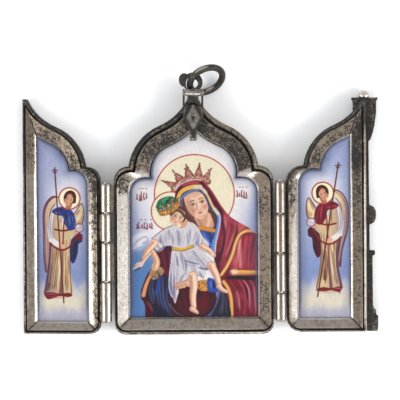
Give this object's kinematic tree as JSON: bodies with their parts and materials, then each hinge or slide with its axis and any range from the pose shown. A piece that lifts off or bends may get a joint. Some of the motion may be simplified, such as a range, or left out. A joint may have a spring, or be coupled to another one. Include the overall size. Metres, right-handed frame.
{
  "type": "folding triptych pendant icon",
  "caption": "Small silver pendant icon that opens like a cupboard: an ogee-topped centre leaf and hinged wings with painted enamel pictures, a seam column, a flip clasp and a hanging ring.",
  "frame": {"origin": "on the flat back of the centre leaf, on its middle line, 25 mm above its foot", "axes": "+X to the viewer's right across the open wings, +Y up the leaves towards the hanging ring, +Z out of the pictures"},
  "size_m": [0.0765, 0.0576, 0.0075],
  "materials": {
    "silver": "cast and polished silver, worn and darkened with age",
    "worn_silver": "silver rubbed bright by use",
    "dark_silver": "cast silver, blackened in its hollows",
    "enamel": "painted enamel under clear flux, glossy"
  },
  "bodies": {
    "centre": {"centre_case": "silver", "centre_bezel": "silver", "centre_enamel": "enamel", "left_hinge_1": "worn_silver", "left_hinge_3": "worn_silver", "right_hinge_2": "worn_silver", "right_hinge_4": "worn_silver", "left_hinge_pin": "worn_silver", "right_hinge_pin": "worn_silver", "bail": "silver", "clasp_pin": "worn_silver", "hanging_ring": "silver"},
    "left_wing": {"left_case": "silver", "left_bezel": "silver", "left_enamel": "enamel", "left_hinge_2": "worn_silver", "left_hinge_4": "worn_silver"},
    "right_wing": {"right_case": "silver", "right_bezel": "silver", "right_enamel": "enamel", "right_hinge_1": "worn_silver", "right_hinge_3": "worn_silver", "column": "dark_silver", "ball_finial": "worn_silver"},
    "clasp": {"clasp": "silver"}
  },
  "joints": [
    {"name": "right_wing_hinge", "type": "hinge", "parent": "centre", "child": "right_wing", "pos_m": [0.01845, 0, 0.0052], "axis": [0, -1, 0], "range_deg": [0, 180]},
    {"name": "left_wing_hinge", "type": "hinge", "parent": "centre", "child": "left_wing", "pos_m": [-0.0187, 0, 0.0052], "axis": [0, 1, 0], "range_deg": [0, 189]},
    {"name": "clasp_hinge", "type": "hinge", "parent": "centre", "child": "clasp", "pos_m": [0, 0.02662, 0.0049], "axis": [-1, 0, 0], "range_deg": [0, 100]}
  ],
  "couplings": [
    {"joint": "left_wing_hinge", "follows": "right_wing_hinge", "ratio": 1.0498},
    {"joint": "clasp_hinge", "follows": "right_wing_hinge", "ratio": 0.5555}
  ]
}
